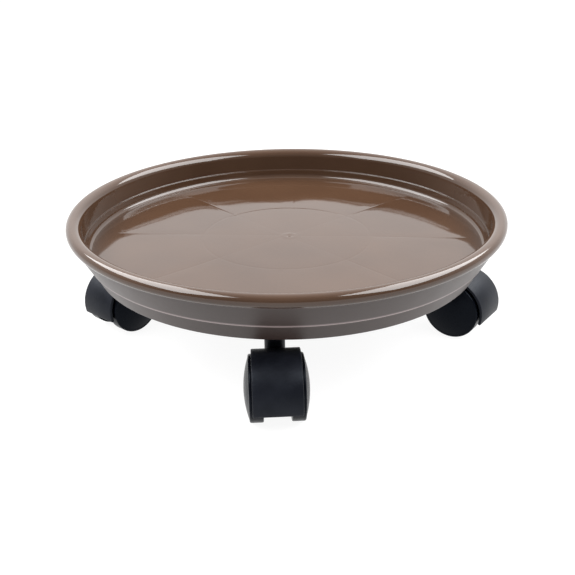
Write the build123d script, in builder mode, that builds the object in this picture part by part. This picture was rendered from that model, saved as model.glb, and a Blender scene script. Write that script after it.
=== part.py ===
from build123d import *
import math
import os

# Round plant pot caddy: a moulded tray on four swivelling twin-wheel casters.
# Millimetres, +Z up. The origin is on the ground under the tray's centre, and -Y is the front.

# Tray
RIM_RADIUS = 152.5          # outside of the rolled rim
RIM_BEAD = 4.1              # radius of the rolled rim's outer half
RIM_ROLL = 6.1              # radius of its inner half, from the top round to the wall
TRAY_HEIGHT = 35.5          # bottom edge of the skirt to the top of the rim
WALL = 2.6                  # floor and skirt
BAND_HEIGHT = 10.9          # skirt below the outer step
BAND_STEP = 1.2             # how far the upper band stands out over the skirt
STEP_INSET = 11.3           # rim's outside to the upper band's bottom edge
SKIRT_INSET = 17.5          # rim's outside to the skirt's bottom edge
UNDERCUT_INSET = 2.3        # rim's outside to the top of the upper band, under the rolled rim
UNDERCUT_DROP = 3.0         # middle of the rim's section down to the top of the upper band
FLOOR_HEIGHT = 11.3         # bottom edge of the skirt to the floor's upper face
LEDGE_HEIGHT = 18.8         # bottom edge of the skirt to the inner ledge's outer edge
LEDGE_DROP = 0.5            # how far the ledge slopes down inwards
LEDGE_INSET = 10.5          # rim's outside to the ledge's outer edge
LEDGE_WIDTH = 0.8           # ledge's outer edge in to its inner edge
WALL_DRAFT = 0.125          # inward lean of the wall below the ledge, for each unit down
FLOOR_FILLET = 5.0          # floor to wall, inside

# Ribs and sockets under the tray
RIB_THICKNESS = 1.6
RIB_DEPTH = 5.0
RIB_COUNT = 8
RING_RIB_RADIUS = 60.5
CENTRE_BOSS_RADIUS = 7.0
CASTER_COUNT = 4
CASTER_CIRCLE = 111.9       # tray's centre to each swivel axis
FIRST_CASTER_ANGLE = -94.2  # the front caster's swivel axis, from +X
SOCKET_RADIUS = 9.0         # outside of the socket that holds a stem
SOCKET_DROP = 3.8           # how far a socket stands out below the skirt
SOCKET_CLEARANCE = 0.15     # stem in its socket

# Caster
WHEEL_RADIUS = 20.5
TREAD_WIDTH = 8.1
TREAD_WALL = 2.4
TREAD_EDGE = 0.8            # rounding of the tread's two edges
WHEEL_GAP = 16.7            # between the two treads
WHEEL_DOME = 3.4            # how far a wheel's outer face bulges
WHEEL_WEB = 2.0
HUB_RADIUS = 5.6
SPOKE_COUNT = 6
SPOKE_THICKNESS = 1.2
SPOKE_INSET = 1.0           # tread's inner edge to the spokes
TRAIL = 17.0                # swivel axis to wheel axle
HOOD_WALL = 2.1
HOOD_CLEARANCE = 1.0        # tread to the inside of the hood
HOOD_WIDTH = 29.6
HOOD_BOTTOM_ANGLE = -15.0   # the hood's two ends, from level on the side away from the stem
HOOD_TOP_ANGLE = 114.0
HOOD_TO_TRAY = 11.9         # top of the hood to the bottom edge of the skirt
WEB_THICKNESS = 5.0         # plate between the wheels
BOSS_RADIUS = 5.6           # round the axle
BOSS_GAP = 0.3              # boss to each wheel's hub
NECK_RADIUS = 6.3
NECK_FOOT = 7.0             # how far below the axle the neck reaches
STEM_RADIUS = 4.0
STEM_BOTTOM = 8.0           # axle up to the stem's lower end
STEM_TOP_GAP = 0.5          # stem's upper end to the socket's blind end
STEM_CHAMFER = 0.6
COLLAR_RADIUS = 6.6
COLLAR_THICKNESS = 1.5
COLLAR_CLEARANCE = 0.3      # collar to the neck's top face
SWIVEL_CLEARANCE = 0.06     # stem in the neck's bore
AXLE_RADIUS = 3.0
AXLE_INSET = 0.5            # tread's outer edge in to the axle's end
AXLE_END_GAP = 0.3          # axle's end to the blind end of the wheel's bore
AXLE_CHAMFER = 0.5
AXLE_CLEARANCE = 0.05       # axle in a wheel's bore
AXLE_PRESS = 0.02           # interference of the axle in the boss
SNAP_DEPTH = 0.5            # groove in a stem or axle, under the snap lip of what turns on it
SNAP_WIDTH = 2.0
SNAP_CLEARANCE = 0.25       # round the snap lip
SNAP_FROM_END = 3.0         # stem's lower end up to the middle of its snap groove
RING_WIDTH = 3.0            # grip ring round the stem's upper end
RING_THICKNESS = 0.9
RING_PRESS = 0.1            # interference of the grip ring in the socket
RING_SLOT_ANGLE = 40.0      # opening of the split grip ring
OVERCUT = 1.0               # how far a cut or a joined shape runs past the face that it meets

# Where the hoods point at rest, from +X
HOOD_HEADINGS = {"front": -87.0, "right": -37.3, "rear": 41.0, "left": 230.7}

# What follows from them
hood_inner = WHEEL_RADIUS + HOOD_CLEARANCE
hood_outer = hood_inner + HOOD_WALL
axle_height = WHEEL_RADIUS
skirt_bottom = axle_height + hood_outer + HOOD_TO_TRAY
rim_top = skirt_bottom + TRAY_HEIGHT
floor_top = skirt_bottom + FLOOR_HEIGHT
floor_bottom = floor_top - WALL
socket_bottom = skirt_bottom - SOCKET_DROP
collar_bottom = socket_bottom - COLLAR_THICKNESS
neck_top = collar_bottom - COLLAR_CLEARANCE
stem_bottom = axle_height + STEM_BOTTOM
stem_top = floor_bottom - STEM_TOP_GAP
ring_bottom = (socket_bottom + stem_top - RING_WIDTH) / 2
tread_inner = WHEEL_GAP / 2
tread_outer = tread_inner + TREAD_WIDTH
boss_half = tread_inner - BOSS_GAP
step_radius = RIM_RADIUS - STEP_INSET
skirt_radius = RIM_RADIUS - SKIRT_INSET
snap_lip = SNAP_WIDTH - 2 * SNAP_CLEARANCE
snap_height = stem_bottom + SNAP_FROM_END
wheel_snap = tread_inner + TREAD_WIDTH / 2
axle_length = 2 * (tread_outer - AXLE_INSET)

os.makedirs("parts", exist_ok=True)


def save(part, name):
    """Labels a finished piece and writes its STEP file."""
    part.label = name
    export_step(part, f"parts/{name}.step")


def skirt_radius_at(height):
    """Outer radius of the tapered skirt, at a height above its bottom edge."""
    top_radius = step_radius - BAND_STEP
    return skirt_radius + (top_radius - skirt_radius) * height / BAND_HEIGHT


# Tray: one revolved shell, with the ribs and the stem sockets moulded under its floor
with BuildPart() as tray:
    with BuildSketch(Plane.XZ):
        bead_x = RIM_RADIUS - RIM_BEAD
        bead_z = rim_top - RIM_BEAD
        ledge_x = RIM_RADIUS - LEDGE_INSET
        ledge_z = skirt_bottom + LEDGE_HEIGHT
        foot_x = ledge_x - LEDGE_WIDTH
        floor_corner = (foot_x - (ledge_z - LEDGE_DROP - floor_top) * WALL_DRAFT, floor_top)
        with BuildLine():
            band = Polyline(
                (0, floor_bottom),
                (skirt_radius_at(FLOOR_HEIGHT - WALL) - WALL, floor_bottom),
                (skirt_radius - WALL, skirt_bottom),
                (skirt_radius, skirt_bottom),
                (step_radius - BAND_STEP, skirt_bottom + BAND_HEIGHT),
                (step_radius, skirt_bottom + BAND_HEIGHT + BAND_STEP / 2),
                (RIM_RADIUS - UNDERCUT_INSET, bead_z - UNDERCUT_DROP),
            )
            undercut = math.atan2(-UNDERCUT_DROP, RIM_BEAD - UNDERCUT_INSET)
            Line(
                band @ 1,
                (bead_x + RIM_BEAD * math.cos(undercut), bead_z + RIM_BEAD * math.sin(undercut)),
            )
            CenterArc((bead_x, bead_z), RIM_BEAD, math.degrees(undercut), 90 - math.degrees(undercut))
            roll = CenterArc((bead_x, rim_top - RIM_ROLL), RIM_ROLL, 90, 90)
            Polyline(
                roll @ 1,
                (ledge_x, ledge_z),
                (foot_x, ledge_z - LEDGE_DROP),
                floor_corner,
                (0, floor_top),
                (0, floor_bottom),
            )
        make_face()
        fillet(vertices().sort_by_distance(floor_corner)[0], FLOOR_FILLET)
    revolve(axis=Axis.Z)
    rib_reach = skirt_radius_at(FLOOR_HEIGHT - WALL) - WALL / 2
    with BuildSketch(Plane.XY.offset(floor_bottom)):
        Circle(RING_RIB_RADIUS + RIB_THICKNESS / 2)
        Circle(RING_RIB_RADIUS - RIB_THICKNESS / 2, mode=Mode.SUBTRACT)
        with PolarLocations(rib_reach / 2, RIB_COUNT, start_angle=FIRST_CASTER_ANGLE):
            Rectangle(rib_reach, RIB_THICKNESS)
        Circle(CENTRE_BOSS_RADIUS)
        Circle(rib_reach, mode=Mode.INTERSECT)
    extrude(amount=-RIB_DEPTH)
    with BuildSketch(Plane.XY.offset(floor_bottom)):
        with PolarLocations(CASTER_CIRCLE, CASTER_COUNT, start_angle=FIRST_CASTER_ANGLE):
            Circle(SOCKET_RADIUS)
    extrude(amount=socket_bottom - floor_bottom)
    with BuildSketch(Plane.XY.offset(socket_bottom)):
        with PolarLocations(CASTER_CIRCLE, CASTER_COUNT, start_angle=FIRST_CASTER_ANGLE):
            Circle(STEM_RADIUS + SOCKET_CLEARANCE)
    extrude(amount=floor_bottom - socket_bottom, mode=Mode.SUBTRACT)
save(tray.part, "tray")


def ring_groove(centre, direction, radius, width):
    """Cuts a square groove, SNAP_DEPTH deep, round the pin being built, middled on centre."""
    start = Plane(origin=centre - direction * (width / 2), z_dir=direction)
    with BuildSketch(start) as groove:
        Circle(radius + OVERCUT)
        Circle(radius - SNAP_DEPTH, mode=Mode.SUBTRACT)
    extrude(groove.sketch, amount=width, mode=Mode.SUBTRACT)


def make_stem(swivel, name):
    """Steel swivel stem: its upper end sits in the tray's socket and the caster turns on its lower end."""
    with BuildPart() as stem:
        with BuildSketch(swivel.offset(stem_bottom)):
            Circle(STEM_RADIUS)
        extrude(amount=stem_top - stem_bottom)
        chamfer(stem.edges().group_by(Axis.Z)[0] + stem.edges().group_by(Axis.Z)[-1], STEM_CHAMFER)
        with BuildSketch(swivel.offset(collar_bottom)):
            Circle(COLLAR_RADIUS)
        extrude(amount=COLLAR_THICKNESS)
        up = swivel.z_dir
        ring_groove(swivel.origin + up * snap_height, up, STEM_RADIUS, SNAP_WIDTH)
        ring_groove(swivel.origin + up * (ring_bottom + RING_WIDTH / 2), up, STEM_RADIUS, RING_WIDTH)
    save(stem.part, name)


def make_grip_ring(swivel, name):
    """Split spring ring round the stem's upper groove, which grips the tray's socket."""
    outer = STEM_RADIUS + SOCKET_CLEARANCE + RING_PRESS
    with BuildPart() as grip_ring:
        with BuildSketch(swivel.offset(ring_bottom + SNAP_CLEARANCE)):
            Circle(outer)
            Circle(max(outer - RING_THICKNESS, STEM_RADIUS - SNAP_DEPTH), mode=Mode.SUBTRACT)
            with BuildLine():
                half = RING_SLOT_ANGLE / 2
                slot = PolarLine((0, 0), 2 * outer, -half)
                Polyline(slot @ 1, (2 * outer * math.cos(math.radians(half)), (slot @ 1).Y * -1), (0, 0))
            make_face(mode=Mode.SUBTRACT)
        extrude(amount=RING_WIDTH - 2 * SNAP_CLEARANCE)
    save(grip_ring.part, name)


def make_caster_body(side, swivel, name):
    """Caster body: neck, plate between the wheels, axle boss and the hood over both treads, in one moulding.

    side lies in the plate's middle plane, with its origin on the axle, X along the heading and Y up.
    """
    with BuildPart() as caster_body:
        with BuildSketch(side):
            with BuildLine():
                low, high = math.radians(HOOD_BOTTOM_ANGLE), math.radians(HOOD_TOP_ANGLE)
                bottom_end = (hood_outer * math.cos(low), hood_outer * math.sin(low))
                top_end = (hood_outer * math.cos(high), hood_outer * math.sin(high))
                CenterArc((0, 0), hood_outer, HOOD_BOTTOM_ANGLE, HOOD_TOP_ANGLE - HOOD_BOTTOM_ANGLE)
                Polyline(
                    top_end,
                    (-TRAIL, top_end[1]),
                    (-TRAIL, -NECK_FOOT),
                    (0, -BOSS_RADIUS),
                    bottom_end,
                )
            make_face()
        extrude(amount=WEB_THICKNESS / 2, both=True)
        with BuildSketch(side):
            with BuildLine():
                outer_arc = CenterArc((0, 0), hood_outer, HOOD_BOTTOM_ANGLE, HOOD_TOP_ANGLE - HOOD_BOTTOM_ANGLE)
                inner_arc = CenterArc((0, 0), hood_inner, HOOD_BOTTOM_ANGLE, HOOD_TOP_ANGLE - HOOD_BOTTOM_ANGLE)
                Line(outer_arc @ 0, inner_arc @ 0)
                Line(outer_arc @ 1, inner_arc @ 1)
            make_face()
        extrude(amount=HOOD_WIDTH / 2, both=True)
        with BuildSketch(side):
            Circle(BOSS_RADIUS)
        extrude(amount=boss_half, both=True)
        with BuildSketch(swivel.offset(axle_height - NECK_FOOT)):
            Circle(NECK_RADIUS)
        extrude(amount=neck_top - axle_height + NECK_FOOT)
        with BuildSketch(side):
            Circle(AXLE_RADIUS - AXLE_PRESS)
        extrude(amount=boss_half, both=True, mode=Mode.SUBTRACT)
        with BuildSketch(swivel.offset(stem_bottom - OVERCUT)):
            Circle(STEM_RADIUS + SWIVEL_CLEARANCE)
        extrude(amount=neck_top - stem_bottom + OVERCUT, mode=Mode.SUBTRACT)
        lip_bottom = snap_height - snap_lip / 2
        with BuildSketch(swivel.offset(lip_bottom)):
            Circle(STEM_RADIUS + SWIVEL_CLEARANCE)
            Circle(STEM_RADIUS - SNAP_DEPTH + SNAP_CLEARANCE, mode=Mode.SUBTRACT)
        extrude(amount=snap_lip)
    save(caster_body.part, name)


def make_axle(axle_plane, name):
    """Steel axle pressed through the boss, with a snap groove near each end."""
    with BuildPart() as axle:
        with BuildSketch(axle_plane):
            Circle(AXLE_RADIUS)
        extrude(amount=axle_length / 2, both=True)
        chamfer(axle.edges().filter_by(GeomType.CIRCLE), AXLE_CHAMFER)
        for end in (-1, 1):
            centre = axle_plane.origin + axle_plane.z_dir * (end * wheel_snap)
            ring_groove(centre, axle_plane.z_dir, AXLE_RADIUS, SNAP_WIDTH)
    save(axle.part, name)


def make_wheel(side, outward, name):
    """Wheel: tread, domed outer face, hub and spokes in one moulding, open towards the plate.

    outward is 1 or -1, the way along side's normal that the domed face looks.
    """
    out = side.z_dir * outward
    section = Plane(origin=side.origin, x_dir=out, z_dir=out.cross(side.y_dir))
    bore = AXLE_RADIUS + AXLE_CLEARANCE
    lip = AXLE_RADIUS - SNAP_DEPTH + SNAP_CLEARANCE
    bore_end = axle_length / 2 + AXLE_END_GAP
    dome_edge = WHEEL_RADIUS - TREAD_EDGE
    with BuildPart() as wheel:
        with BuildSketch(section):
            with BuildLine():
                Polyline(
                    (tread_outer + WHEEL_DOME, 0),
                    (bore_end, 0),
                    (bore_end, bore),
                    (wheel_snap + snap_lip / 2, bore),
                    (wheel_snap + snap_lip / 2, lip),
                    (wheel_snap - snap_lip / 2, lip),
                    (wheel_snap - snap_lip / 2, bore),
                    (tread_inner, bore),
                    (tread_inner, HUB_RADIUS),
                    (tread_outer - WHEEL_WEB, HUB_RADIUS),
                    (tread_outer - WHEEL_WEB, WHEEL_RADIUS - TREAD_WALL),
                    (tread_inner, WHEEL_RADIUS - TREAD_WALL),
                    (tread_inner, dome_edge),
                    (tread_inner + TREAD_EDGE, WHEEL_RADIUS),
                    (tread_outer - TREAD_EDGE, WHEEL_RADIUS),
                    (tread_outer, dome_edge),
                )
                dome_radius = (dome_edge**2 + WHEEL_DOME**2) / (2 * WHEEL_DOME)
                dome_middle = tread_outer + WHEEL_DOME - dome_radius
                half_angle = math.degrees(math.asin(dome_edge / dome_radius))
                CenterArc((dome_middle, 0), dome_radius, 0, half_angle)
            make_face()
        revolve(axis=Axis(side.origin, out))
        spoke_start = side.origin + out * (tread_inner + SPOKE_INSET)
        spoke_length = WHEEL_RADIUS - TREAD_WALL - HUB_RADIUS
        with BuildSketch(Plane(origin=spoke_start, x_dir=side.x_dir, z_dir=out)):
            with PolarLocations(HUB_RADIUS + spoke_length / 2, SPOKE_COUNT):
                Rectangle(spoke_length + OVERCUT, SPOKE_THICKNESS)
        extrude(amount=TREAD_WIDTH - WHEEL_WEB)
    save(wheel.part, name)


for index, (place, heading) in enumerate(HOOD_HEADINGS.items()):
    around = math.radians(FIRST_CASTER_ANGLE + index * 360 / CASTER_COUNT)
    swivel = Plane(origin=(CASTER_CIRCLE * math.cos(around), CASTER_CIRCLE * math.sin(around), 0))
    ahead = Vector(math.cos(math.radians(heading)), math.sin(math.radians(heading)), 0)
    axle_centre = swivel.origin + ahead * TRAIL + Vector(0, 0, axle_height)
    side = Plane(origin=axle_centre, x_dir=ahead, z_dir=ahead.cross(Vector(0, 0, 1)))
    make_stem(swivel, f"{place}_stem")
    make_grip_ring(swivel, f"{place}_grip_ring")
    make_caster_body(side, swivel, f"{place}_caster_body")
    make_axle(side, f"{place}_axle")
    make_wheel(side, 1, f"{place}_wheel_a")
    make_wheel(side, -1, f"{place}_wheel_b")
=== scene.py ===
import math

import bpy
import numpy as np
from mathutils import Matrix, Vector


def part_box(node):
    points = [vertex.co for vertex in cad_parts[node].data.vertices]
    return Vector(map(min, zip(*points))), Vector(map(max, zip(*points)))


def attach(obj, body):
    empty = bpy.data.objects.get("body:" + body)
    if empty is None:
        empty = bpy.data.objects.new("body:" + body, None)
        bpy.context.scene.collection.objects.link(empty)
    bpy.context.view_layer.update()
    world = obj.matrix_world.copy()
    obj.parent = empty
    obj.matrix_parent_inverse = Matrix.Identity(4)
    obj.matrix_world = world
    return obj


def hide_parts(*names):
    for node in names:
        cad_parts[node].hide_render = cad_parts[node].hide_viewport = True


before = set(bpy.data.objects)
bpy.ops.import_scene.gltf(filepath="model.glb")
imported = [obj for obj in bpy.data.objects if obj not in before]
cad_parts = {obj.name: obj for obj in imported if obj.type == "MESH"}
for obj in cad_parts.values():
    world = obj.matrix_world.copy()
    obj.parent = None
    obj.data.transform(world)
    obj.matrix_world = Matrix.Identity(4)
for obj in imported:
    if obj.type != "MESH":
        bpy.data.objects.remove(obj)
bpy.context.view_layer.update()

# ---------------------------------------------------------------------------------------------
# The camera stands a little over half a metre in front of the caddy and looks down into the
# tray, with a slight tilt of the hand. It is aimed at the middle of the caddy's outline.
# ---------------------------------------------------------------------------------------------
EYE = Vector((0.0, -0.5154, 0.2681))
AIM = Vector((0.0, 0.0, 0.0256))
TILT = math.radians(-0.8)

camera = bpy.data.objects.new("camera", bpy.data.cameras.new("camera"))
bpy.context.scene.collection.objects.link(camera)
bpy.context.scene.camera = camera
camera.data.sensor_width = 36.0
camera.data.lens = 47.77
camera.data.dof.use_dof = False
camera.data.clip_start, camera.data.clip_end = 0.01, 50.0
looking = (AIM - EYE).to_track_quat("-Z", "Y").to_matrix()
camera.matrix_world = Matrix.Translation(EYE) @ (looking @ Matrix.Rotation(TILT, 3, "Z")).to_4x4()

# ---------------------------------------------------------------------------------------------
# The studio: a white floor, a room that lights the caddy more from overhead and behind than from
# in front and is plain white where it is seen, and two soft boxes. None of it is the caddy.
# ---------------------------------------------------------------------------------------------
bpy.context.scene.view_settings.view_transform = "Standard"


def finish_of(name, colour, roughness):
    """A new material with its node tree, and the Principled shader in it set to a colour and roughness."""
    material = bpy.data.materials.new(name)
    material.use_nodes = True
    shader = material.node_tree.nodes["Principled BSDF"]
    shader.inputs["Base Color"].default_value = (*colour, 1.0)
    shader.inputs["Roughness"].default_value = roughness
    return material, shader


def soft_box(name, place, towards, width, height, radiance):
    """A rectangular area light of a given radiance, facing a point."""
    light = bpy.data.lights.new(name, "AREA")
    light.shape = "RECTANGLE"
    light.size, light.size_y = width, height
    light.energy = radiance * width * height * math.pi
    box = bpy.data.objects.new(name, light)
    bpy.context.scene.collection.objects.link(box)
    box.matrix_world = (
        Matrix.Translation(Vector(place))
        @ (Vector(towards) - Vector(place)).to_track_quat("-Z", "Y").to_matrix().to_4x4()
    )


def spread(tree, value, low, high, start=0.0, end=1.0):
    """A value that runs from start to end, taken to the range from low to high and clamped there."""
    node = tree.nodes.new("ShaderNodeMapRange")
    node.inputs["From Min"].default_value, node.inputs["From Max"].default_value = start, end
    node.inputs["To Min"].default_value, node.inputs["To Max"].default_value = low, high
    tree.links.new(value, node.inputs["Value"])
    return node.outputs["Result"]


FLOOR_HALF = 6
floor_corners = [(x * FLOOR_HALF, y * FLOOR_HALF, 0) for x, y in ((-1, -1), (1, -1), (1, 1), (-1, 1))]
floor_mesh = bpy.data.meshes.new("studio_floor")
floor_mesh.from_pydata(floor_corners, [], [(0, 1, 2, 3)])
studio_floor = bpy.data.objects.new("studio_floor", floor_mesh)
bpy.context.scene.collection.objects.link(studio_floor)
floor_paint, floor_shader = finish_of("studio_floor_white", (0.13, 0.13, 0.13), 0.9)
floor_shader.inputs["Specular IOR Level"].default_value = 0.1
floor_shader.inputs["Emission Color"].default_value = (1.0, 1.0, 1.0, 1.0)
floor_shader.inputs["Emission Strength"].default_value = 0.92
floor_mesh.materials.append(floor_paint)

room = bpy.data.worlds.new("studio_room")
bpy.context.scene.world = room
room.use_nodes = True
room_nodes, room_links = room.node_tree.nodes, room.node_tree.links
background = room_nodes["Background"]
direction = room_nodes.new("ShaderNodeTexCoord")
split = room_nodes.new("ShaderNodeSeparateXYZ")
room_links.new(direction.outputs["Generated"], split.inputs[0])
front_to_back = spread(room.node_tree, split.outputs["Y"], 0.28, 1.4, start=-0.55, end=0.75)
upwards = spread(room.node_tree, split.outputs["Z"], 1.0, 1.3, start=0.30, end=0.50)
brightness = room_nodes.new("ShaderNodeMath")
brightness.operation = "MULTIPLY"
room_links.new(front_to_back, brightness.inputs[0])
room_links.new(upwards, brightness.inputs[1])
seen = room_nodes.new("ShaderNodeLightPath")
backdrop = room_nodes.new("ShaderNodeMix")
backdrop.inputs["B"].default_value = 1.0
room_links.new(seen.outputs["Is Camera Ray"], backdrop.inputs["Factor"])
room_links.new(brightness.outputs["Value"], backdrop.inputs["A"])
background.inputs["Color"].default_value = (1.0, 1.0, 1.0, 1.0)
room_links.new(backdrop.outputs["Result"], background.inputs["Strength"])

for side, way in (("left", -1), ("right", 1)):
    soft_box(f"{side}_box", (way * 0.92, 0.0, 1.18), (0.0, 0.0, 0.1), width=2.0, height=0.95, radiance=9.0)

# ---------------------------------------------------------------------------------------------
# Tray: a single brown moulding, about 305 mm over its rolled rim, glossy inside and satin outside.
# The wall drops inside to a narrow ledge and a coved floor, and a tapered band stands out over
# the skirt outside.
# ---------------------------------------------------------------------------------------------
tray_low, tray_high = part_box("tray")
RIM_RADIUS = tray_high.x
RIM_TOP = tray_high.z
TRAY_HEIGHT = 0.0355
FLOOR_RISE = 0.0113
FLOOR_THICKNESS = 0.0026
SKIRT_BOTTOM = RIM_TOP - TRAY_HEIGHT
FLOOR_TOP = SKIRT_BOTTOM + FLOOR_RISE
FLOOR_BOTTOM = FLOOR_TOP - FLOOR_THICKNESS
STEM_BOXES = {place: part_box(f"{place}_stem") for place in ("front", "right", "rear", "left")}
SWIVELS = {place: (low + high) / 2 for place, (low, high) in STEM_BOXES.items()}
RIB_START = math.atan2(SWIVELS["front"].y, SWIVELS["front"].x)
RIB_COUNT = 8
RING_RIB = 0.0605


def rounded_outline(corners, bend_steps=6, ease=0.0004):
    """Points of an outline through corners (x, y, corner radius).

    Each corner becomes an arc that touches both of its runs, found from the half angle between
    them, and a run keeps a further point close to each of its ends so that it shades flat.
    """
    points = [np.array(corners[0][:2], float)]
    for before, corner, after in zip(corners, corners[1:], corners[2:]):
        at = np.array(corner[:2], float)
        to_before = np.array(before[:2], float) - at
        to_after = np.array(after[:2], float) - at
        room_for = 0.49 * min(np.linalg.norm(to_before), np.linalg.norm(to_after))
        to_before /= np.linalg.norm(to_before)
        to_after /= np.linalg.norm(to_after)
        half = math.acos(np.clip(to_before @ to_after, -1, 1)) / 2
        reach = min(corner[2] / math.tan(half), room_for)
        radius = reach * math.tan(half)
        halfway = to_before + to_after
        middle = at + halfway / np.linalg.norm(halfway) * radius / math.sin(half)
        first, last = at + to_before * reach - middle, at + to_after * reach - middle
        sweep = math.pi - 2 * half
        turn = np.linspace(0, 1, bend_steps + 1)[:, None]
        arc = (np.sin((1 - turn) * sweep) * first + np.sin(turn * sweep) * last) / math.sin(sweep)
        points += [at + to_before * (reach + ease), *(middle + arc), at + to_after * (reach + ease)]
    points.append(np.array(corners[-1][:2], float))
    return np.array(points)


def make_piece(name, shells, material):
    """A smooth mesh object from closed shells of points and faces.

    Each shell is turned outwards: its faces are reversed if its signed volume, which is the sum of
    a . (b x c) over its triangles, is negative.
    """
    points, faces, start = [], [], 0
    for shell_points, shell_faces in shells:
        volume = 0.0
        for block in shell_faces:
            for k in range(1, block.shape[1] - 1):
                a, b, c = (shell_points[block[:, at]] for at in (0, k, k + 1))
                volume += np.einsum("ij,ij->i", a, np.cross(b, c)).sum()
        points.append(shell_points)
        faces += [start + (block if volume > 0 else block[:, ::-1]) for block in shell_faces]
        start += len(shell_points)
    mesh = bpy.data.meshes.new(name)
    mesh.from_pydata(np.vstack(points).tolist(), [], [face for block in faces for face in block.tolist()])
    mesh.polygons.foreach_set("use_smooth", np.full(len(mesh.polygons), True))
    mesh.materials.append(material)
    mesh.update()
    piece = bpy.data.objects.new(name, mesh)
    bpy.context.scene.collection.objects.link(piece)
    return piece


def ring_quads(rings, around, closed=False):
    """Faces that join each ring of points to the next one, and the last to the first if closed."""
    row, column = np.arange(rings if closed else rings - 1)[:, None], np.arange(around)
    beside, below = (column + 1) % around, (row + 1) % rings
    corners = [(row, column), (row, beside), (below, beside), (below, column)]
    return np.stack([ring * around + point for ring, point in corners], axis=-1).reshape(-1, 4)


def turned(outline, angle, origin, axis, aside):
    """Points and faces of an outline (radius, height) turned about an axis.

    Point (i, j) is origin + height_i * axis + radius_i * (cos t_j * aside + sin t_j * axis x aside),
    where the angles t_j are given, or are so many even steps. An end that lies on the axis is one
    shared point with a fan of triangles, and any other outline is a ring that closes on itself.
    """
    axis, aside = np.array(axis, float), np.array(aside, float)
    across = np.cross(axis, aside)
    angle = np.linspace(0, 2 * math.pi, angle, endpoint=False) if np.isscalar(angle) else angle
    around = len(angle)
    spin = np.cos(angle)[:, None] * aside + np.sin(angle)[:, None] * across
    on_axis = outline[0, 0] < 1e-9 and outline[-1, 0] < 1e-9
    body = outline[1:-1] if on_axis else outline
    rings = origin + body[:, 1, None, None] * axis + body[:, 0, None, None] * spin
    points = rings.reshape(-1, 3)
    rows, columns = len(body), np.arange(around)
    following = (columns + 1) % around
    faces = [ring_quads(rows, around, closed=not on_axis)]
    if on_axis:
        ends = origin + outline[[0, -1], 1, None] * axis
        points = np.vstack([points, ends])
        top = np.full(around, rows * around)
        faces.append(np.stack([top, following, columns], axis=-1))
        base = (rows - 1) * around
        faces.append(np.stack([top + 1, base + columns, base + following], axis=-1))
    return points, faces


def mark(piece, name, values):
    """Gives each point of a piece a number that its material reads by name."""
    layer = piece.data.attributes.new(name, "FLOAT", "POINT")
    layer.data.foreach_set("value", np.broadcast_to(np.asarray(values, float), len(piece.data.vertices)))


def noise_over(tree, where, scale, detail=2.0, roughness=0.5):
    """A noise texture of so many cells to the metre, read at the given coordinates."""
    node = tree.nodes.new("ShaderNodeTexNoise")
    node.inputs["Scale"].default_value = scale
    node.inputs["Detail"].default_value = detail
    node.inputs["Roughness"].default_value = roughness
    tree.links.new(where, node.inputs["Vector"])
    return node.outputs["Fac"]


def ramp_of(tree, value, low, high, start=0.0, end=1.0):
    """A colour that goes from low, where the value is start, to high, where it is end."""
    node = tree.nodes.new("ShaderNodeValToRGB")
    first, last = node.color_ramp.elements
    first.position, last.position = start, end
    first.color, last.color = (*low, 1), (*high, 1)
    tree.links.new(value, node.inputs["Fac"])
    return node.outputs["Color"]


def bump_on(tree, shader, height, strength, distance):
    """Bends a shader's normal by a height that runs over the given distance in metres."""
    node = tree.nodes.new("ShaderNodeBump")
    node.inputs["Strength"].default_value = strength
    node.inputs["Distance"].default_value = distance
    tree.links.new(height, node.inputs["Height"])
    tree.links.new(node.outputs["Normal"], shader.inputs["Normal"])


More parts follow.
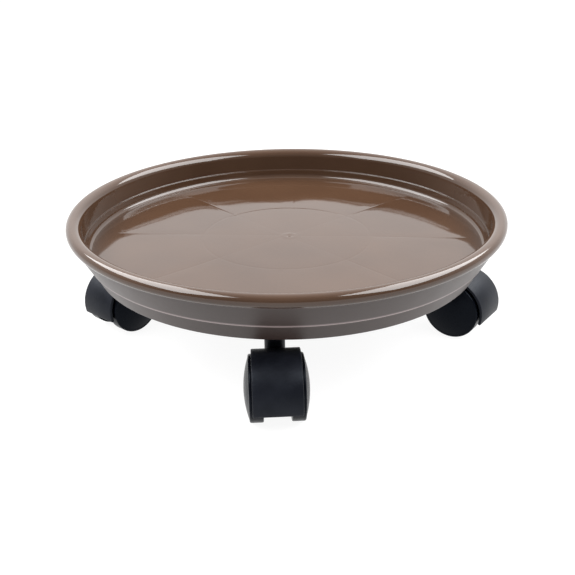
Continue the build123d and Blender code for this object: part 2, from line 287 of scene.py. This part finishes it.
def brown_plastic():
    """Brown moulding: glossy inside and satin outside, with a flow mottle, painted shade and a painted
    floor reflection on the outside, and painted highlights along two outer edges.

    The mark "satin" is 0 where the mould was polished and 1 where it was blasted. Where it is 1, the brown
    is also darkened and cooled as painted shade and a painted reflection of the white floor. The mark
    "pale" is 1 along the band's lower edge and the lip's crest, where a light grey-brown is painted on as
    a highlight.
    """
    material, shader = finish_of("tray_plastic", (0.043, 0.022, 0.0124), 0.06)
    tree = material.node_tree
    place = tree.nodes.new("ShaderNodeTexCoord").outputs["Object"]
    mottle = noise_over(tree, place, scale=14.0, detail=4.0)
    tone = ramp_of(tree, mottle, (0.038, 0.0192, 0.0107), (0.048, 0.0250, 0.0142), start=0.35, end=0.7)
    satin = tree.nodes.new("ShaderNodeAttribute")
    satin.attribute_name = "satin"
    # On the outside the brown is multiplied by a blue grey. This is painted shade and a painted reflection
    # of the white floor.
    outside_painted_shade_reflection = tree.nodes.new("ShaderNodeMix")
    outside_painted_shade_reflection.data_type = "RGBA"
    outside_painted_shade_reflection.blend_type = "MULTIPLY"
    outside_painted_shade_reflection.inputs["B"].default_value = (0.62, 0.66, 0.92, 1)
    tree.links.new(satin.outputs["Fac"], outside_painted_shade_reflection.inputs["Factor"])
    tree.links.new(tone, outside_painted_shade_reflection.inputs["A"])
    # Along the edges marked "pale", a light grey-brown is painted over the brown as a highlight.
    painted_edge_highlight = tree.nodes.new("ShaderNodeAttribute")
    painted_edge_highlight.attribute_name = "painted_edge_highlight"
    edge_highlight_paint = tree.nodes.new("ShaderNodeMix")
    edge_highlight_paint.data_type = "RGBA"
    edge_highlight_paint.inputs["B"].default_value = (0.30, 0.24, 0.235, 1)
    tree.links.new(painted_edge_highlight.outputs["Fac"], edge_highlight_paint.inputs["Factor"])
    tree.links.new(outside_painted_shade_reflection.outputs["Result"], edge_highlight_paint.inputs["A"])
    tree.links.new(edge_highlight_paint.outputs["Result"], shader.inputs["Base Color"])
    drag = noise_over(tree, place, scale=90.0, detail=6.0)
    either = tree.nodes.new("ShaderNodeMix")
    tree.links.new(satin.outputs["Fac"], either.inputs["Factor"])
    tree.links.new(spread(tree, drag, 0.045, 0.09), either.inputs["A"])
    tree.links.new(spread(tree, drag, 0.33, 0.41), either.inputs["B"])
    tree.links.new(either.outputs["Result"], shader.inputs["Roughness"])
    bump_on(tree, shader, noise_over(tree, place, scale=160.0), strength=0.06, distance=0.0004)
    return material


def dip(distance, width):
    """A smooth bell, exp(-(distance / width)^2): 1 in the middle and 0.37 at the width."""
    return np.exp(-((distance / width) ** 2))


def sunk_floor(points):
    """Height to take off the floor's upper face at each point.

    It sinks over each rib as a narrow groove in a wide shallow trough, each a dip in the distance
    to the rib, and swells between them as a few long slow waves. A small ring marks the gate.
    """
    x, y = points[:, 0], points[:, 1]
    radius, angle = np.hypot(x, y), np.arctan2(y, x)
    spacing = 2 * math.pi / RIB_COUNT
    off_rib = (angle - RIB_START + spacing / 2) % spacing - spacing / 2
    hub, ring_fade, edge_radius, edge_fade = 0.004, 0.004, 0.134, 0.012
    groove_depth, trough_depth, wave_height = 0.00007, 0.00012, 0.00007
    gate_depth, gate_radius, gate_lip, gate_ring = 0.0002, 0.0016, 0.00015, 0.004
    to_rib = np.where(radius > hub, radius * np.abs(np.sin(off_rib)), hub)
    to_ring = np.abs(radius - RING_RIB)
    strength = 0.30 + 0.70 * np.clip((radius - RING_RIB) / ring_fade, 0, 1)
    groove = groove_depth * (strength * dip(to_rib, 0.0008) + dip(to_ring, 0.0009))
    trough = trough_depth * (strength * dip(to_rib, 0.005) + 0.6 * dip(to_ring, 0.005))
    waves = wave_height * (
        np.sin(71 * x + 19 * y + 0.6) + np.sin(43 * y - 66 * x + 2.1) + 0.7 * np.sin(97 * x + 88 * y)
    )
    to_gate = np.hypot(x - 0.002, y + 0.0005)
    gate = gate_depth * dip(to_gate, gate_radius) - gate_lip * dip(to_gate - gate_ring, 0.002)
    edge = np.clip((edge_radius - radius) / edge_fade, 0, 1)
    return (groove + trough + waves + gate) * edge * edge * (3 - 2 * edge)


tray_plastic = brown_plastic()
bead_radius = 0.0041
bead_middle = np.array([RIM_RADIUS - bead_radius, RIM_TOP - bead_radius])
tuck = math.atan2(-0.003, bead_radius - 0.0023)
bead_turn = np.linspace(tuck, math.pi / 2, 16)
bead = bead_middle + bead_radius * np.stack([np.cos(bead_turn), np.sin(bead_turn)], axis=1)
roll_radius = 0.0061
roll_middle = np.array([RIM_RADIUS - bead_radius, RIM_TOP - roll_radius])
roll_turn = np.linspace(math.pi / 2, math.pi, 14)
roll = roll_middle + roll_radius * np.stack([np.cos(roll_turn), np.sin(roll_turn)], axis=1)
below_edge = (RIM_RADIUS - 0.0132, SKIRT_BOTTOM + 0.0094, 0)
above_edge = (RIM_RADIUS - 0.0104, SKIRT_BOTTOM + 0.0132, 0)
under_lip = (RIM_RADIUS - 0.0033, bead_middle[1] - 0.0050, 0)
lip_crest = (RIM_RADIUS - 0.0019, bead_middle[1] - 0.0033)
skirt = rounded_outline([
    (0.0, FLOOR_BOTTOM, 0),
    (RIM_RADIUS - 0.0161, FLOOR_BOTTOM, 0.0012),
    (RIM_RADIUS - 0.0201, SKIRT_BOTTOM, 0.0008),
    (RIM_RADIUS - 0.0175, SKIRT_BOTTOM, 0.0010),
    below_edge,
])
band_edge = rounded_outline([
    below_edge,
    (RIM_RADIUS - 0.0125, SKIRT_BOTTOM + 0.0109, 0.0004),
    (RIM_RADIUS - 0.0113, SKIRT_BOTTOM + 0.0115, 0.0008),
    above_edge,
], ease=0.0001)
lip = rounded_outline([
    under_lip,
    (RIM_RADIUS - 0.0026, bead_middle[1] - 0.0036, 0.0004),
    (*lip_crest, 0.0004),
    (RIM_RADIUS - 0.0024, bead_middle[1] - 0.0029, 0.0002),
    (*bead[0], 0),
])
outer_wall = np.vstack([skirt, band_edge[1:], lip])
inner_wall = rounded_outline([
    (*roll[-1], 0),
    (RIM_RADIUS - 0.0105, SKIRT_BOTTOM + 0.0188, 0.0005),
    (RIM_RADIUS - 0.0113, SKIRT_BOTTOM + 0.0183, 0.0004),
    (RIM_RADIUS - 0.01218, FLOOR_TOP, 0.0050),
    (0.0, FLOOR_TOP, 0),
], bend_steps=8)
flat_from = inner_wall[-2, 0] - 0.0015
wide_step, fine_step, gate_from = 0.0022, 0.0006, 0.008
floor_rings = np.concatenate([
    np.arange(flat_from, gate_from, -wide_step),
    RING_RIB + np.linspace(-1, 1, 15) ** 3 * 0.004,
    np.arange(gate_from - 0.0005, 0.0008, -fine_step),
])
floor_rings = np.sort(np.unique(np.round(floor_rings, 5)))[::-1]
floor_run = np.stack([floor_rings, np.full_like(floor_rings, FLOOR_TOP)], axis=1)
tray_outline = np.vstack([outer_wall[:-1], bead, roll[1:], inner_wall[1:-1], floor_run, inner_wall[-1:]])
AROUND_TRAY = 480
CROWDING = 0.72
steps = np.linspace(0, RIB_COUNT, AROUND_TRAY, endpoint=False)
closer_at_ribs = steps - CROWDING * np.sin(2 * math.pi * steps) / (2 * math.pi)
around_tray = RIB_START + closer_at_ribs * 2 * math.pi / RIB_COUNT
tray_points, tray_faces = turned(tray_outline, around_tray, np.zeros(3), (0, 0, 1), (1, 0, 0))
on_floor = np.abs(tray_points[:, 2] - FLOOR_TOP) < 1e-6
tray_points[on_floor, 2] -= sunk_floor(tray_points[on_floor])
tray_shell = make_piece("tray_shell", [(tray_points, tray_faces)], tray_plastic)

tray_radius = np.hypot(tray_points[:, 0], tray_points[:, 1])
height = tray_points[:, 2] - SKIRT_BOTTOM
outside = np.zeros(len(tray_outline))
outside[:len(outer_wall)] = 1.0
satin = np.append(np.repeat(outside[1:-1], len(around_tray)), [1.0, 0.0])
# Painted highlight on the outside along the band's lower edge and the lip's crest, as a bell in the
# distance to each edge.
band_edge_radius, band_edge_rise = RIM_RADIUS - 0.0114, 0.0117
to_band_edge = np.hypot(tray_radius - band_edge_radius, height - band_edge_rise)
to_lip = np.hypot(tray_radius - lip_crest[0], height - (lip_crest[1] - SKIRT_BOTTOM))
painted_highlight_edges = dip(to_band_edge, 0.0009) + dip(to_lip, 0.0006)
mark(tray_shell, "satin", satin)
mark(tray_shell, "painted_edge_highlight", satin * np.clip(painted_highlight_edges, 0, 1))
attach(tray_shell, "tray")
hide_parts("tray")

# ---------------------------------------------------------------------------------------------
# Ribs and stem sockets: moulded with the tray under its floor. Eight ribs run from the middle
# to the skirt, one ring rib ties them, and four round sockets take the casters' stems.
# ---------------------------------------------------------------------------------------------
RIB_HALF = 0.0008
RIB_FOOT = FLOOR_BOTTOM - 0.005
RIB_ROOT = FLOOR_BOTTOM + 0.0008
CENTRE_BOSS_RADIUS = 0.007
SOCKET_RADIUS, SOCKET_BORE = 0.009, 0.00415
SOCKET_END = FLOOR_BOTTOM - 0.0003
SOCKET_BOTTOM = tray_low.z


def rounded_bar(centres, along, across, upward, half_across, half_up, corner):
    """Points and faces of a bar with a rounded rectangular section carried along a path.

    Section j of ring i is centres_i + a_j * across_i + b_j * upward_i, where (a, b) goes round a
    rectangle with quarter-circle corners. At each end three more rings draw in by corner * (1 - cos t)
    as they go out by corner * sin t, and a single face closes the end. A direction that is one
    vector holds for the whole path.
    """
    along, across, upward = (np.broadcast_to(way, centres.shape) for way in (along, across, upward))
    quarter = np.linspace(0, math.pi / 2, 4)
    turn = np.concatenate([quarter + k * math.pi / 2 for k in range(4)])
    corner_a = np.repeat([1, -1, -1, 1], len(quarter)) * (half_across - corner)
    corner_b = np.repeat([1, 1, -1, -1], len(quarter)) * (half_up - corner)

    def ring(centre, k, shrink):
        """Corner arcs of radius corner - shrink about the four corner centres, at place k of the path."""
        size = corner - shrink
        a, b = corner_a + size * np.cos(turn), corner_b + size * np.sin(turn)
        return centre + a[:, None] * across[k] + b[:, None] * upward[k]

    swing = np.linspace(math.pi / 2 * 0.98, 0, 4)[:-1]
    rings = []
    for t in swing:
        pulled = along[0] * corner * (math.sin(t) - 1)
        rings.append(ring(centres[0] - pulled, 0, corner * (1 - math.cos(t))))
    rings += [ring(centres[k], k, 0.0) for k in range(1, len(centres) - 1)]
    for t in swing[::-1]:
        pulled = along[-1] * corner * (math.sin(t) - 1)
        rings.append(ring(centres[-1] + pulled, -1, corner * (1 - math.cos(t))))
    around = np.arange(len(turn))
    caps = np.stack([around[::-1], (len(rings) - 1) * len(turn) + around])
    return np.vstack(rings), [ring_quads(len(rings), len(turn)), caps]


rib_parts = []
for k in range(RIB_COUNT):
    angle = RIB_START + k * 2 * math.pi / RIB_COUNT
    out = np.array([math.cos(angle), math.sin(angle), 0.0])
    reach = (RIM_RADIUS - 0.0172) * np.linspace(0.035, 1, 6)
    middle = np.array([0, 0, (RIB_FOOT + RIB_ROOT) / 2])
    half_height = (RIB_ROOT - RIB_FOOT) / 2
    sideways, upright = (-out[1], out[0], 0.0), (0.0, 0.0, 1.0)
    rib_parts.append(rounded_bar(
        middle + reach[:, None] * out, out, sideways, upright, RIB_HALF, half_height, 0.0004,
    ))
ring_outline = rounded_outline([
    (RING_RIB, RIB_FOOT, 0),
    (RING_RIB + RIB_HALF, RIB_FOOT, 0.0004),
    (RING_RIB + RIB_HALF, RIB_ROOT, 0.0001),
    (RING_RIB - RIB_HALF, RIB_ROOT, 0.0001),
    (RING_RIB - RIB_HALF, RIB_FOOT, 0.0004),
    (RING_RIB, RIB_FOOT, 0),
], ease=0.00005)[:-1]
rib_parts.append(turned(ring_outline, 160, np.zeros(3), (0, 0, 1), (1, 0, 0)))
boss_outline = rounded_outline([
    (0.0, RIB_FOOT, 0),
    (CENTRE_BOSS_RADIUS, RIB_FOOT, 0.0006),
    (CENTRE_BOSS_RADIUS, RIB_ROOT, 0.0002),
    (0.0, RIB_ROOT, 0),
])
rib_parts.append(turned(boss_outline, 48, np.zeros(3), (0, 0, 1), (1, 0, 0)))
tray_ribs = make_piece("tray_ribs", rib_parts, tray_plastic)
mark(tray_ribs, "satin", 1.0)
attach(tray_ribs, "tray")
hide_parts("tray")

socket_outline = rounded_outline([
    (0.0, RIB_ROOT, 0),
    (SOCKET_RADIUS, RIB_ROOT, 0.0002),
    (SOCKET_RADIUS, SOCKET_BOTTOM, 0.0009),
    (SOCKET_BORE, SOCKET_BOTTOM, 0.0004),
    (SOCKET_BORE, SOCKET_END, 0.0001),
    (0.0, SOCKET_END, 0),
], ease=0.0001)
sockets = [
    turned(socket_outline, 64, np.array([swivel.x, swivel.y, 0.0]), (0, 0, 1), (1, 0, 0))
    for swivel in SWIVELS.values()
]
stem_sockets = make_piece("stem_sockets", sockets, tray_plastic)
mark(stem_sockets, "satin", 1.0)
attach(stem_sockets, "tray")
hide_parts("tray")

# ---------------------------------------------------------------------------------------------
# Stems, grip rings and axles: turned steel rod and spring steel strip with a bright zinc plate.
# Each stem is pushed into a tray socket, and each axle is pressed through its caster's boss.
# ---------------------------------------------------------------------------------------------


def zinc_plate():
    """Bright zinc: drawn-rod streaks in the gloss and slight bluish and warm patches in the colour."""
    material, shader = finish_of("zinc_plate", (0.62, 0.62, 0.63), 0.28)
    shader.inputs["Metallic"].default_value = 1.0
    tree = material.node_tree
    place = tree.nodes.new("ShaderNodeTexCoord").outputs["Object"]
    patches = noise_over(tree, place, scale=260.0)
    tone = ramp_of(tree, patches, (0.50, 0.51, 0.54), (0.72, 0.71, 0.68))
    tree.links.new(tone, shader.inputs["Base Color"])
    stretch = tree.nodes.new("ShaderNodeMapping")
    stretch.inputs["Scale"].default_value = (60.0, 60.0, 2400.0)
    tree.links.new(place, stretch.inputs["Vector"])
    streaks = noise_over(tree, stretch.outputs["Vector"], scale=1.0)
    tree.links.new(spread(tree, streaks, 0.18, 0.42), shader.inputs["Roughness"])
    return material


zinc = zinc_plate()
for place in SWIVELS:
    for kind in ("stem", "grip_ring", "axle"):
        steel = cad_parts[f"{place}_{kind}"]
        steel.material_slots[0].material = zinc

# ---------------------------------------------------------------------------------------------
# Caster bodies: satin black mouldings. A hood wraps over both treads, a plate runs between the
# wheels with a boss for the axle, and a round neck rises to the stem.
# ---------------------------------------------------------------------------------------------
wheel_low, wheel_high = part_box("front_wheel_a")
WHEEL_RADIUS = (wheel_high.z - wheel_low.z) / 2
HOOD_INNER, HOOD_OUTER, HOOD_HALF = WHEEL_RADIUS + 0.0010, WHEEL_RADIUS + 0.0031, 0.0148
HOOD_LOW, HOOD_HIGH = math.radians(-15), math.radians(114)
HOOD_STEPS = 56
PLATE_HALF = 0.0025
BOSS_RADIUS, BOSS_BORE, BOSS_HALF = 0.0056, 0.00298, 0.00805
NECK_RADIUS = 0.0063
NECK_TOP = SOCKET_BOTTOM - 0.0018
NECK_FOOT = WHEEL_RADIUS - 0.007
SWIVEL_BORE = 0.00406
STEM_FOOT = STEM_BOXES["front"][0].z - 0.001
UP = np.array([0.0, 0.0, 1.0])


def satin_black():
    """Satin black moulding with a fine spark-eroded grain and a faint bloom of grey on it."""
    material, shader = finish_of("caster_plastic", (0.022, 0.023, 0.028), 0.42)
    shader.inputs["Specular IOR Level"].default_value = 0.14
    shader.inputs["Specular Tint"].default_value = (0.80, 0.88, 1.0, 1)
    tree = material.node_tree
    place = tree.nodes.new("ShaderNodeTexCoord").outputs["Object"]
    bloom = noise_over(tree, place, scale=70.0, detail=5.0)
    tone = ramp_of(tree, bloom, (0.0035, 0.0040, 0.0062), (0.0090, 0.0100, 0.0140), start=0.3, end=0.75)
    tree.links.new(tone, shader.inputs["Base Color"])
    tree.links.new(spread(tree, bloom, 0.34, 0.50), shader.inputs["Roughness"])
    grain = noise_over(tree, place, scale=800.0, detail=3.0)
    bump_on(tree, shader, grain, strength=0.7, distance=0.00014)
    return material


def flat_plate(outline, origin, right, up, normal, half, edge):
    """A flat plate with eased edges: the outline at four depths, drawn in by edge at both faces.

    A point is origin + x * right + y * up + depth * normal, and drawing in moves each outline point
    towards the outline's inside along the mean of its two side normals.
    """
    ahead = np.roll(outline, -1, axis=0) - outline
    ahead /= np.linalg.norm(ahead, axis=1, keepdims=True)
    behind = np.roll(ahead, 1, axis=0)
    mean = ahead + behind
    mean /= np.linalg.norm(mean, axis=1, keepdims=True)
    following = np.roll(outline, -1, axis=0)
    area = np.sum(outline[:, 0] * following[:, 1] - following[:, 0] * outline[:, 1])
    inward = np.stack([-mean[:, 1], mean[:, 0]], axis=1) * (1 if area > 0 else -1)
    layers = []
    for depth, draw in ((-half, edge), (-half + edge, 0.0), (half - edge, 0.0), (half, edge)):
        flat = outline + inward * draw
        layers.append(origin + flat[:, :1] * right + flat[:, 1:] * up + depth * normal)
    around = np.arange(len(outline))
    caps = np.stack([around[::-1], (len(layers) - 1) * len(outline) + around])
    return np.vstack(layers), [ring_quads(len(layers), len(outline)), caps]


caster_plastic = satin_black()
CASTERS = {}
for place, swivel in SWIVELS.items():
    low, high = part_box(f"{place}_axle")
    axle = (low + high) / 2
    ahead = Vector((axle.x - swivel.x, axle.y - swivel.y, 0.0))
    trail = ahead.length
    ahead.normalize()
    CASTERS[place] = (np.array(axle), np.array(ahead), np.array(ahead.cross(Vector((0, 0, 1)))), trail)

for place, (axle, ahead, beside_wheels, trail) in CASTERS.items():
    turn = np.linspace(HOOD_LOW, HOOD_HIGH, HOOD_STEPS)
    radial = np.cos(turn)[:, None] * ahead + np.sin(turn)[:, None] * UP
    tangent = -np.sin(turn)[:, None] * ahead + np.cos(turn)[:, None] * UP
    hood_middle = axle + radial * (HOOD_INNER + HOOD_OUTER) / 2
    hood_half = (HOOD_OUTER - HOOD_INNER) / 2
    hood = rounded_bar(hood_middle, tangent, beside_wheels, radial, HOOD_HALF, hood_half, 0.0007)
    arc = np.linspace(HOOD_LOW + 0.03, HOOD_HIGH - 0.02, 30)
    plate_radius = HOOD_INNER + 0.0006
    over = plate_radius * np.stack([np.cos(arc), np.sin(arc)], axis=1)
    plate_outline = np.vstack([over, [(-trail, over[-1, 1]), (-trail, -0.0066), (0.0, -0.0056)]])
    plate = flat_plate(plate_outline, axle, ahead, UP, beside_wheels, PLATE_HALF, 0.0005)
    boss = turned(rounded_outline([
        (BOSS_BORE, -BOSS_HALF, 0),
        (BOSS_RADIUS, -BOSS_HALF, 0.0005),
        (BOSS_RADIUS, BOSS_HALF, 0.0005),
        (BOSS_BORE, BOSS_HALF, 0),
        (BOSS_BORE, -BOSS_HALF, 0),
    ], ease=0.0001)[:-1], 48, axle, beside_wheels, ahead)
    swivel = axle - ahead * trail
    swivel[2] = 0.0
    neck = turned(rounded_outline([
        (0.0, NECK_FOOT, 0),
        (NECK_RADIUS, NECK_FOOT, 0.0012),
        (NECK_RADIUS, NECK_TOP, 0.0005),
        (SWIVEL_BORE, NECK_TOP, 0.0003),
        (SWIVEL_BORE, STEM_FOOT, 0.0003),
        (0.0, STEM_FOOT, 0),
    ], ease=0.0002), 64, swivel, UP, ahead)
    body = make_piece(f"{place}_caster_moulding", [hood, plate, boss, neck], caster_plastic)
    body.data.set_sharp_from_angle(angle=math.radians(40))
    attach(body, f"{place}_caster")
    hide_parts(f"{place}_caster_body")

# ---------------------------------------------------------------------------------------------
# Wheels: smooth black mouldings, two to a caster. Tread, domed outer face, hub and six spokes
# are one piece, open towards the plate, and snap on to the axle.
# ---------------------------------------------------------------------------------------------
TREAD_INNER, TREAD_OUTER = 0.00835, 0.01645
DOME = 0.0034
WHEEL_BORE, BORE_END = 0.00305, TREAD_OUTER - 0.0002
HUB_RADIUS = 0.0056
WEB = TREAD_OUTER - 0.002
TREAD_INSIDE = WHEEL_RADIUS - 0.0024
SPOKE_COUNT = 6
SPOKE_HALF, SPOKE_HALF_DEPTH = 0.0006, 0.0030


def smooth_black():
    """Smooth near-black moulding with a soft uneven polish and faint rolling scuffs."""
    material, shader = finish_of("wheel_plastic", (0.004, 0.0045, 0.007), 0.26)
    shader.inputs["Specular IOR Level"].default_value = 0.08
    shader.inputs["Specular Tint"].default_value = (0.72, 0.84, 1.0, 1)
    tree = material.node_tree
    place = tree.nodes.new("ShaderNodeTexCoord").outputs["Object"]
    scuffs = noise_over(tree, place, scale=320.0, detail=7.0, roughness=0.65)
    tree.links.new(spread(tree, scuffs, 0.20, 0.36), shader.inputs["Roughness"])
    tone = ramp_of(tree, scuffs, (0.0012, 0.0015, 0.0028), (0.0026, 0.0031, 0.0054))
    tree.links.new(tone, shader.inputs["Base Color"])
    bump_on(tree, shader, scuffs, strength=0.1, distance=0.00005)
    return material


wheel_plastic = smooth_black()
dome_edge = WHEEL_RADIUS - 0.0008
dome_radius = (dome_edge**2 + DOME**2) / (2 * DOME)
dome_sweep = np.linspace(math.asin((dome_edge - 0.0012) / dome_radius), 0, 20)
dome_centre = TREAD_OUTER + DOME - dome_radius
dome_run = np.stack([
    dome_radius * np.sin(dome_sweep),
    dome_centre + dome_radius * np.cos(dome_sweep),
], axis=1)
wheel_rim = rounded_outline([
    (0.0, BORE_END, 0),
    (WHEEL_BORE, BORE_END, 0.0002),
    (WHEEL_BORE, TREAD_INNER, 0.0002),
    (HUB_RADIUS, TREAD_INNER, 0.0004),
    (HUB_RADIUS, WEB, 0.0006),
    (TREAD_INSIDE, WEB, 0.0008),
    (TREAD_INSIDE, TREAD_INNER, 0.0004),
    (WHEEL_RADIUS, TREAD_INNER, 0.0008),
    (WHEEL_RADIUS, TREAD_OUTER + 0.0002, 0.0011),
    (*dome_run[0], 0),
], ease=0.0002)
wheel_outline = np.vstack([wheel_rim[:-1], dome_run])

for place, (axle, ahead, beside_wheels, _) in CASTERS.items():
    for side, way in (("a", 1), ("b", -1)):
        outward = beside_wheels * way
        shells = [turned(wheel_outline, 96, axle, outward, ahead)]
        for k in range(SPOKE_COUNT):
            angle = k * 2 * math.pi / SPOKE_COUNT
            spoke = math.cos(angle) * ahead + math.sin(angle) * UP
            reach = np.linspace(0.0050, WHEEL_RADIUS - 0.0020, 5)
            middle = axle + outward * (TREAD_INNER + TREAD_OUTER - 0.0005) / 2
            shells.append(rounded_bar(
                middle + reach[:, None] * spoke, spoke, np.cross(outward, spoke), outward,
                SPOKE_HALF, SPOKE_HALF_DEPTH, 0.0002,
            ))
        wheel = make_piece(f"{place}_wheel_{side}_moulding", shells, wheel_plastic)
        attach(wheel, f"{place}_wheel_{side}")
        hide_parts(f"{place}_wheel_{side}")
